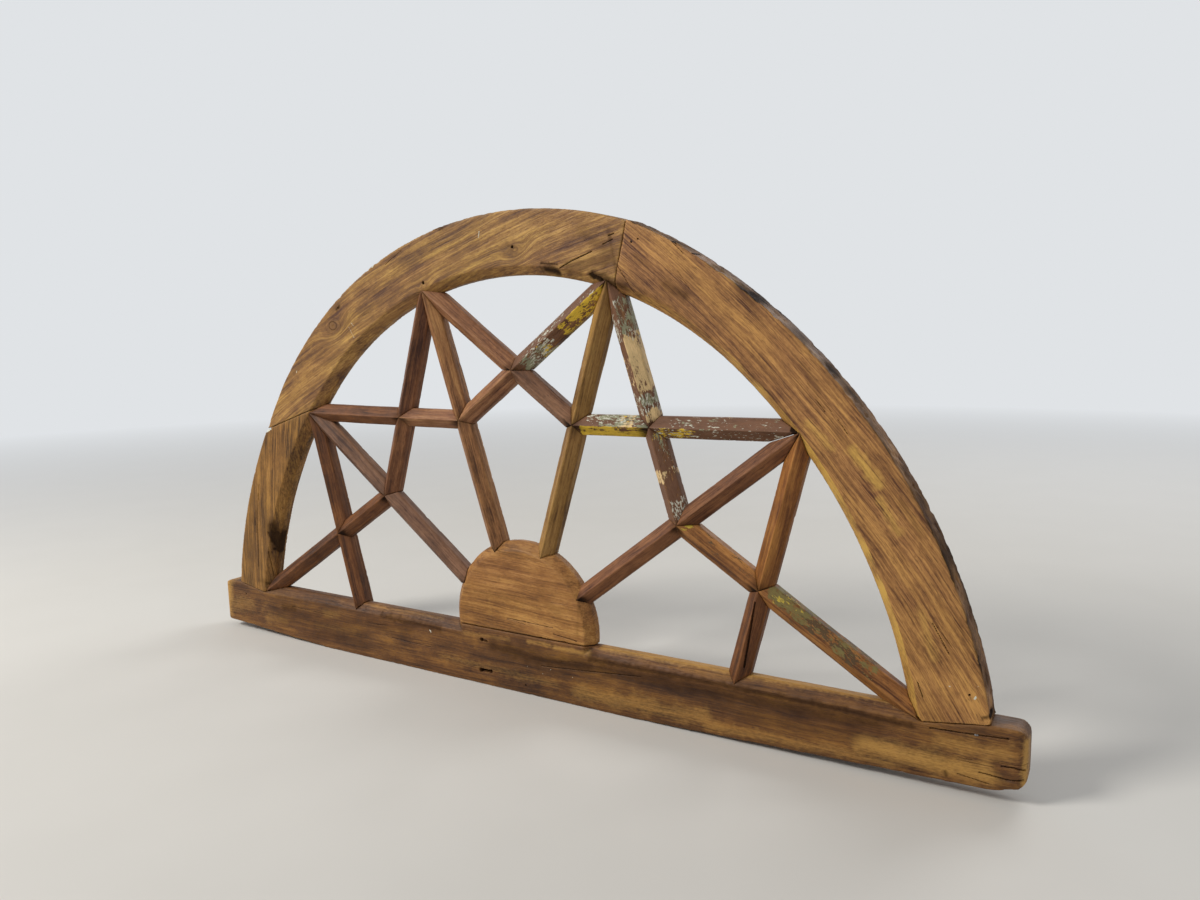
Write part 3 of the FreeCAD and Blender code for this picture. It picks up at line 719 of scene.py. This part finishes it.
def wear_down(mesh, cell, seed, rounds, chips, outer, ends):
    """Rounds the arrises, rubs and chips them, and lets the faces undulate a little, all inward.
    The faces at a bar's ends stay, so that its joints stay tight. Returns how convex each place
    is, from -1 in a crease to 1 on a sharp arris."""
    points, edges = read_mesh(mesh)
    for _ in range(rounds):
        points += 0.5 * (neighbour_mean(points, edges) - points)
    write_points(mesh, points)
    normals = normals_of(mesh)
    bulge = -np.einsum("ij,ij->i", neighbour_mean(points, edges) - points, normals) / cell
    for _ in range(3):
        bulge = 0.4 * bulge + 0.6 * neighbour_mean(bulge, edges)
    convex = np.clip(bulge * 6, -1, 1)
    rub_and_light = np.clip(convex, 0, 1)
    worn = 0.35 + 0.65 * noise(points, 34.0, seed)
    nicks = fade(noise(points, 9.0, seed + 1) + 0.5 * noise(points, 4.0, seed + 2), 0.55, 0.95)
    depth = rub_and_light * (0.5 * np.clip(worn, 0, 1) + chips * nicks)
    depth += 0.14 * (1 + noise(points, 60.0, seed + 3)) + 0.06 * (1 + noise(points, 14.0, seed + 4))
    pits = np.clip(noise(points, 7.0, seed + 5) + 0.6 * noise(points, 16.0, seed + 6), 0, 1)
    depth += outer * 2.2 * pits * fade(outwardness(points, normals), 0.2, 0.8)
    if len(ends):
        along = (ends[1] - ends[0]) / np.linalg.norm(ends[1] - ends[0])
        depth *= 1 - fade(np.abs(normals[:, [0, 2]] @ along), 0.25, 0.55)
    points -= normals * depth[:, None]
    write_points(mesh, points)
    return convex


def apply_marks(mesh, marks, seed):
    """Presses the marks into the mesh and returns the tone that each leaves on the vertices."""
    points, _ = read_mesh(mesh)
    normals = normals_of(mesh)
    tones = {tone: np.zeros(len(points)) for tone in ("dark", "light", "fleck")}
    start = points.copy()
    for index, mark in enumerate(marks):
        gap = path_distance(start, mark.path)
        near = np.nonzero((gap < 1.8 * mark.width) & (start[:, 1] < FRONT + 2 * BEVEL_DEPTH))[0]
        if not len(near):
            continue
        place = start[near]
        grit = noise(place, max(1.2, mark.width * 0.45), seed + 31 * index)
        reach = gap[near] * (1 + mark.ragged * grit) / mark.width
        fall = fade(1 - reach, 0.0, 0.55)
        soft = fade(1.25 - reach, 0.0, 0.6)
        if mark.way == "in":
            points[near, 1] += mark.depth * fall
        else:
            rough = 0.7 + 0.6 * noise(place, 2.5, seed + 77)
            points[near] -= normals[near] * (mark.depth * fall * rough)[:, None]
        tone = tones[mark.tone]
        cover = soft if mark.depth else fade(1 - reach, 0, 1)
        if mark.tone == "fleck":
            cover = cover * (1 - fade(place[:, 1], FRONT + 4, FRONT + 10))
        tone[near] = np.maximum(tone[near], mark.strength * cover)
    write_points(mesh, points)
    return tones


def grain_places(points, middle, turn, bend, knots):
    """Places along, through and across the fibres, in metres. Fibres that bend follow a circle
    whose radius is bend in millimetres, with its centre to the right of their direction. They
    part round the knots, each given by its x, z and size."""
    heading = math.radians(turn)
    along = np.array([math.cos(heading), math.sin(heading)])
    across = np.array([-along[1], along[0]])
    flat = points[:, [0, 2]] - middle
    if bend:
        spoke = flat + bend * across
        radius = np.linalg.norm(spoke, axis=1)
        swing = np.arctan2(spoke @ along, spoke @ across)
        u, v = swing * bend, radius - bend
    else:
        u, v = flat @ along, flat @ across
    for x, z, size in knots:
        centre = np.array([x, z]) - middle
        du, dv = flat @ along - centre @ along, flat @ across - centre @ across
        gap = np.hypot(du / 1.6, dv)
        pull = np.exp(-(gap / size) ** 2)
        v = v + pull * (gap * 1.4 - dv)
    return np.stack([u, points[:, 1], v], axis=1) * MM


def store(mesh, name, kind, field, values):
    layer = mesh.attributes.new(name, kind, "POINT")
    layer.data.foreach_set(field, np.ascontiguousarray(values, np.float32).ravel())


BACK_DIRT = 0.3
# How dark a bar's downward faces are made: painted shade
UNDERSIDE_SHADE = 0.5
JOINT_DIRT = 0.66
# The bevels' lighter tone, partly worn wood and partly painted light, grows from here to here
# in x, towards the right foot
BEVEL_WORN_AND_LIT_RISE = (250, 450)


def weathering_and_shading(points, normals, outer, bevel, ends, seed):
    """Dark and light tones of the surface: a dirty outer edge and back, bevels lightened partly as
    worn wood and partly as painted light, painted shade under a bar, and grime at its ends."""
    outward = outwardness(points, normals)
    patchy = 0.8 + 0.5 * noise(points, 22.0, seed + 50)
    dark = outer * fade(outward, 0.35, 0.8) * patchy
    # Inner bevels that face the front are lightened: partly worn wood, partly painted light
    light = bevel * fade(-outward, 0.35, 0.6) * fade(-normals[:, 1], 0.3, 0.55) * patchy
    light *= 0.5 + 0.5 * fade(points[:, 0], *BEVEL_WORN_AND_LIT_RISE)
    dark += BACK_DIRT * fade(normals[:, 1], 0.2, 0.8) * patchy
    if len(ends):
        # A bar's downward faces darkened: painted shade
        dark += UNDERSIDE_SHADE * fade(-normals[:, 2], 0.2, 0.7) * patchy
    for x, z in ends:
        gap = np.hypot(points[:, 0] - x, points[:, 2] - z)
        dark += JOINT_DIRT * (1 - fade(gap, 3, 24)) * patchy
    return dark, light


def horn_wear(points):
    """The right horn's end worn round underneath and the left horn's on top."""
    low = 1 - fade(points[:, 2], 12, 60)
    points[:, 2] += 6 * low * fade(points[:, 0], 618, 660)
    high = fade(points[:, 2], 62, 92)
    points[:, 2] -= 7 * high * fade(-points[:, 0], 640, 662)


def dressed(node, material, turn=0.0, cell=2.0, seed=0, rounds=2, chips=0.8, bend=0.0,
            knots=(), marks=(), plan=(), ends=(), grain_turn=None, outer=0.0, bevel=0.0,
            shape=None):
    """Replaces a CAD node with its worn mesh in its material. turn is the direction in which its
    faces are laid out and, unless grain_turn says otherwise, that of its fibres, in degrees from
    +X; outer says how worn its outer edge is, and bevel how much its bevels are lightened, partly
    as worn wood and partly as painted light."""
    mesh = even_mesh(node, turn, cell)
    net = bmesh.new()
    net.from_mesh(mesh)
    close_pinches(net)
    refine(net, marks, cell)
    net.to_mesh(mesh)
    net.free()
    if shape:
        points, _ = read_mesh(mesh)
        shape(points)
        write_points(mesh, points)
    convex = wear_down(mesh, cell, seed, rounds, chips, outer, ends)
    tones = apply_marks(mesh, marks, seed)
    points, _ = read_mesh(mesh)
    low, high = points.min(axis=0), points.max(axis=0)
    middle = ((low + high) / 2)[[0, 2]]
    grain = grain_places(points, middle, turn if grain_turn is None else grain_turn, bend, knots)
    grain += np.array([0.37, 0.0, 0.23]) * (seed % 17)
    dark, light = weathering_and_shading(points, normals_of(mesh), outer, bevel, ends, seed)
    if plan:
        shares = paint_shares(plan, ends, points)
        store(mesh, "paint", "FLOAT_COLOR", "color", shares[:, :4])
        tones["fleck"] = np.maximum(tones["fleck"], shares[:, 4])
    # Dark tones hold grime, stains and painted shade; light tones worn wood and painted light
    wear_and_shading = np.stack([tones["dark"] + dark, tones["light"] + light, tones["fleck"]], axis=1)
    store(mesh, "grain", "FLOAT_VECTOR", "vector", grain)
    store(mesh, "edge", "FLOAT", "value", convex)
    store(mesh, "wear_and_shading", "FLOAT_VECTOR", "vector", wear_and_shading)
    mesh.polygons.foreach_set("use_smooth", [True] * len(mesh.polygons))
    mesh.materials.clear()
    mesh.materials.append(material)
    piece = bpy.data.objects.new(node + "_worn", mesh)
    bpy.context.scene.collection.objects.link(piece)
    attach(piece, "root")
    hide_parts(node)


def paint_shares(plan, ends, points):
    """The amounts of the paints and of white flecks at each point of a bar, from its plan."""
    start, end = np.array(ends)
    length = np.linalg.norm(end - start)
    along = (end - start) / length
    across = np.array([-along[1], along[0]])
    flat = points[:, [0, 2]] - start
    place = flat @ along / length + 0.03 * noise(points, 9.0, 5)
    side = flat @ across
    shares = np.zeros((len(points), 5))
    for paint, first, last, face, amount in plan:
        within = fade(place, first, first + 0.06) * (1 - fade(place, last - 0.06, last))
        if face:
            within = within * fade(face * side, -1.2, 0.6)
        within = within * (points[:, 1] < FRONT + 2 * BEVEL_DEPTH)
        channel = PAINT_ORDER.index(paint)
        shares[:, channel] = np.maximum(shares[:, channel], amount * within)
    return shares


CRACK_LENGTHS = (12, 45)
CRACK_WIDTHS = (0.4, 0.6)
CRACK_DEPTHS = (0.6, 1.5)


def drying_cracks(node, turn, count, seed):
    """Short cracks along the fibres at seeded places on the front."""
    random = np.random.default_rng(seed)
    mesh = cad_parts[node].data
    points = np.array([v.co for v in mesh.vertices]) / MM
    mesh.calc_loop_triangles()
    triangles = [t for t in mesh.loop_triangles if points[list(t.vertices), 1].max() < FRONT + 0.1]
    areas = np.array([t.area for t in triangles])
    found = []
    for _ in range(count):
        pick = random.choice(len(areas), p=areas / areas.sum())
        share = random.dirichlet((1, 1, 1))
        x, _, z = share @ points[list(triangles[pick].vertices)]
        heading = math.radians(turn + random.normal(0, 3))
        reach = random.uniform(*CRACK_LENGTHS) / 2
        dx, dz = reach * math.cos(heading), reach * math.sin(heading)
        bow = random.normal(0, 0.6)
        middle = (x - bow * math.sin(heading), z + bow * math.cos(heading))
        width = random.uniform(*CRACK_WIDTHS)
        depth = random.uniform(*CRACK_DEPTHS)
        path = [(x - dx, z - dz), middle, (x + dx, z + dz)]
        # Their dark tone is painted shade in the crack
        found.append(Mark(path, width, depth, "in", "dark", 0.55, 0.3))
    return found


# Pieces


def dress_frame():
    """Sill, hub and felloes, each with its own fibres, knots and marks."""
    dressed("sill", wood("sill_wood"), cell=2.15, seed=11, shape=horn_wear,
            marks=MARKS["sill"] + drying_cracks("sill", 0, 8, 5))
    dressed("hub", wood("hub_wood"), cell=1.9, seed=23, chips=0.9, grain_turn=-3.0,
            marks=MARKS["hub"] + drying_cracks("hub", -2, 4, 6), outer=0.15)
    dressed("arch_left", wood("left_wood"), turn=90, cell=2.0, seed=5,
            marks=MARKS["arch_left"] + drying_cracks("arch_left", 86, 4, 7),
            grain_turn=84.0, bend=1500.0, outer=0.35)
    dressed("arch_crown", wood("crown_wood"), cell=2.1, seed=8, chips=1.0,
            marks=MARKS["arch_crown"] + drying_cracks("arch_crown", 24, 4, 8),
            grain_turn=21.5, bend=2200.0, knots=[(-341, 531, 15), (15, 624, 12), (-150, 584, 7)],
            outer=0.4, bevel=0.85)
    dressed("arch_right", wood("right_wood", rubbed_and_lit=YELLOWED), turn=-50, cell=2.1,
            seed=3, chips=1.2, marks=MARKS["arch_right"] + drying_cracks("arch_right", -52, 7, 9),
            grain_turn=-48.5, bend=1900.0, outer=0.8, bevel=0.85)


def dress_bars():
    """The lattice's bars, whose fibres run from end to end."""
    used = {}
    names = sorted(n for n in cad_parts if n.startswith(("bay_", "ray_")))
    for index, node in enumerate(names):
        turn, ends = ridge(node)
        plan = PAINTED.get(node, ())
        kind = BAR_WOODS.get(node, "painted_bar" if plan else "red_bar")
        if kind not in used:
            paints = MOSSY if kind == "mossy_bar" else PAINTS
            coats = [paints[name] for name in PAINT_ORDER[:4]] if plan else ()
            used[kind] = wood(kind, coats)
        dressed(node, used[kind], turn=turn,
                seed=41 + 3 * index, rounds=1, marks=MARKS.get(node, []), plan=plan, ends=ends)


NAIL_SIDES = 14
FORWARD = (0, -1, 0)
# Name, place of the head, radius and length in millimetres, and where the head points
NAILS = [
    ("nail_sill_right", (608, FRONT + 0.7, 72), 2.2, 8, FORWARD),
    ("nail_felloe_top", (192, FRONT + 0.9, 624), 1.6, 8, FORWARD),
    ("nail_felloe_foot", (605, FRONT + 0.7, 113), 2.2, 8, FORWARD),
    ("nail_horn_left", (-622, -10, 89.5), 2.6, 12, (0.15, -0.1, 1)),
]


def nail(name, place, radius, length, heading, material):
    """A cut nail: a domed, uneven head and a short shank, seated along its heading."""
    net = bmesh.new()
    profile = [(0.35, -length), (0.35, -0.6), (1.0, -0.6), (1.0, -0.1), (0.8, 0.25), (0.4, 0.4)]
    rings = []
    for share, height in profile:
        ring = []
        for step in range(NAIL_SIDES):
            turn = 2 * math.pi * step / NAIL_SIDES
            wobble = 1 + 0.06 * math.sin(3 * turn + height)
            ring.append(net.verts.new((radius * share * wobble * math.cos(turn),
                                       radius * share * wobble * math.sin(turn), height)))
        rings.append(ring)
    for low, high in zip(rings, rings[1:]):
        for step in range(NAIL_SIDES):
            after = (step + 1) % NAIL_SIDES
            net.faces.new((low[step], low[after], high[after], high[step]))
    net.faces.new(rings[0][::-1])
    net.faces.new(rings[-1])
    mesh = bpy.data.meshes.new(name)
    net.to_mesh(mesh)
    net.free()
    aim = Vector((0, 0, 1)).rotation_difference(Vector(heading)).to_matrix().to_4x4()
    mesh.transform(Matrix.Translation(Vector(place) * MM) @ aim @ Matrix.Scale(MM, 4))
    mesh.polygons.foreach_set("use_smooth", [True] * len(mesh.polygons))
    mesh.materials.append(material)
    piece = bpy.data.objects.new(name, mesh)
    bpy.context.scene.collection.objects.link(piece)
    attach(piece, "root")


def drive_nails():
    metal = nail_metal()
    for name, place, radius, length, heading in NAILS:
        nail(name, place, radius, length, heading, metal)


# Studio

AMBIENT = 0.36
AMBIENT_TINT = (0.95, 0.97, 1.0, 1.0)
BACKDROP = srgb(224, 227, 230)
FLOOR = srgb(214, 211, 205)
FLOOR_MOTTLE = srgb(200, 197, 190)
FLOOR_RADIUS = 14.0
FLOOR_FADE = (1.2, 5.0)
# Name, place, diameter in metres, watts and colour
LAMPS = [
    ("key", (-2.0, -2.3, 2.6), 1.2, 112.0, (1.0, 0.98, 0.94)),
    ("fill", (2.4, -2.4, 1.2), 2.0, 5.0, (0.96, 0.98, 1.0)),
    ("rim", (0.9, 2.6, 2.4), 1.8, 30.0, (1.0, 1.0, 1.0)),
]
AIM = Vector((0.0, 0.0, 0.3))


def light_room():
    """An even pale glow on the object; the camera, metal and glass see the backdrop's colour."""
    world = bpy.data.worlds.new("room")
    bpy.context.scene.world = world
    world.use_nodes = True
    tree = world.node_tree
    tree.nodes.clear()
    path = put(tree, "LightPath").outputs
    seen = maths(tree, maths(tree, path["Is Camera Ray"], path["Is Glossy Ray"], "MAXIMUM"),
                 path["Is Transmission Ray"], "MAXIMUM")
    glow = put(tree, "Background", {"Color": AMBIENT_TINT, "Strength": AMBIENT})
    backdrop = put(tree, "Background", {"Color": BACKDROP, "Strength": 1.0})
    both = put(tree, "MixShader", {0: seen, 1: glow.outputs[0], 2: backdrop.outputs[0]})
    put(tree, "OutputWorld", {"Surface": both.outputs[0]})


def hang_lamps():
    for name, place, size, power, colour in LAMPS:
        lamp = bpy.data.lights.new(name, "AREA")
        lamp.shape = "DISK"
        lamp.size = size
        lamp.energy = power
        lamp.color = colour
        body = bpy.data.objects.new(name, lamp)
        body.location = place
        body.rotation_euler = (AIM - Vector(place)).to_track_quat("-Z", "Y").to_euler()
        bpy.context.scene.collection.objects.link(body)


def lay_floor():
    """A plain pale floor that fades into the backdrop away from the object."""
    material, tree = new_material("floor")
    place = put(tree, "NewGeometry").outputs["Position"]
    far = put(tree, "VectorMath", {0: place}, operation="LENGTH").outputs["Value"]
    path = put(tree, "LightPath").outputs
    share = maths(tree, spread_out(tree, far, *FLOOR_FADE), path["Is Camera Ray"], "MULTIPLY")
    mottle = cloud(tree, place, (6.0, 6.0, 6.0), 3.0, 0.5)
    mottle = spread_out(tree, mottle, 0.3, 0.7, 0.0, 0.15)
    colour = blend_colour(tree, mottle, FLOOR, FLOOR_MOTTLE)
    near = put(tree, "BsdfPrincipled", {"Base Color": colour, "Roughness": 0.75})
    away = put(tree, "Emission", {"Color": BACKDROP, "Strength": 1.0})
    both = put(tree, "MixShader", {0: share, 1: near.outputs[0], 2: away.outputs[0]})
    put(tree, "OutputMaterial", {"Surface": both.outputs[0]})
    net = bmesh.new()
    bmesh.ops.create_circle(net, cap_ends=True, radius=FLOOR_RADIUS, segments=96)
    mesh = bpy.data.meshes.new("floor")
    net.to_mesh(mesh)
    net.free()
    mesh.materials.append(material)
    floor = bpy.data.objects.new("floor", mesh)
    bpy.context.scene.collection.objects.link(floor)


def place_camera():
    camera = bpy.data.cameras.new("camera")
    camera.sensor_width = SENSOR_WIDTH
    camera.lens = CAMERA_LENS
    body = bpy.data.objects.new("camera", camera)
    body.location = CAMERA_PLACE
    body.rotation_euler = Euler([math.radians(turn) for turn in CAMERA_TURN], "XYZ")
    bpy.context.scene.collection.objects.link(body)
    bpy.context.scene.camera = body


dress_frame()
dress_bars()
drive_nails()
lay_floor()
light_room()
hang_lamps()
place_camera()
bpy.context.scene.view_settings.view_transform = "Standard"
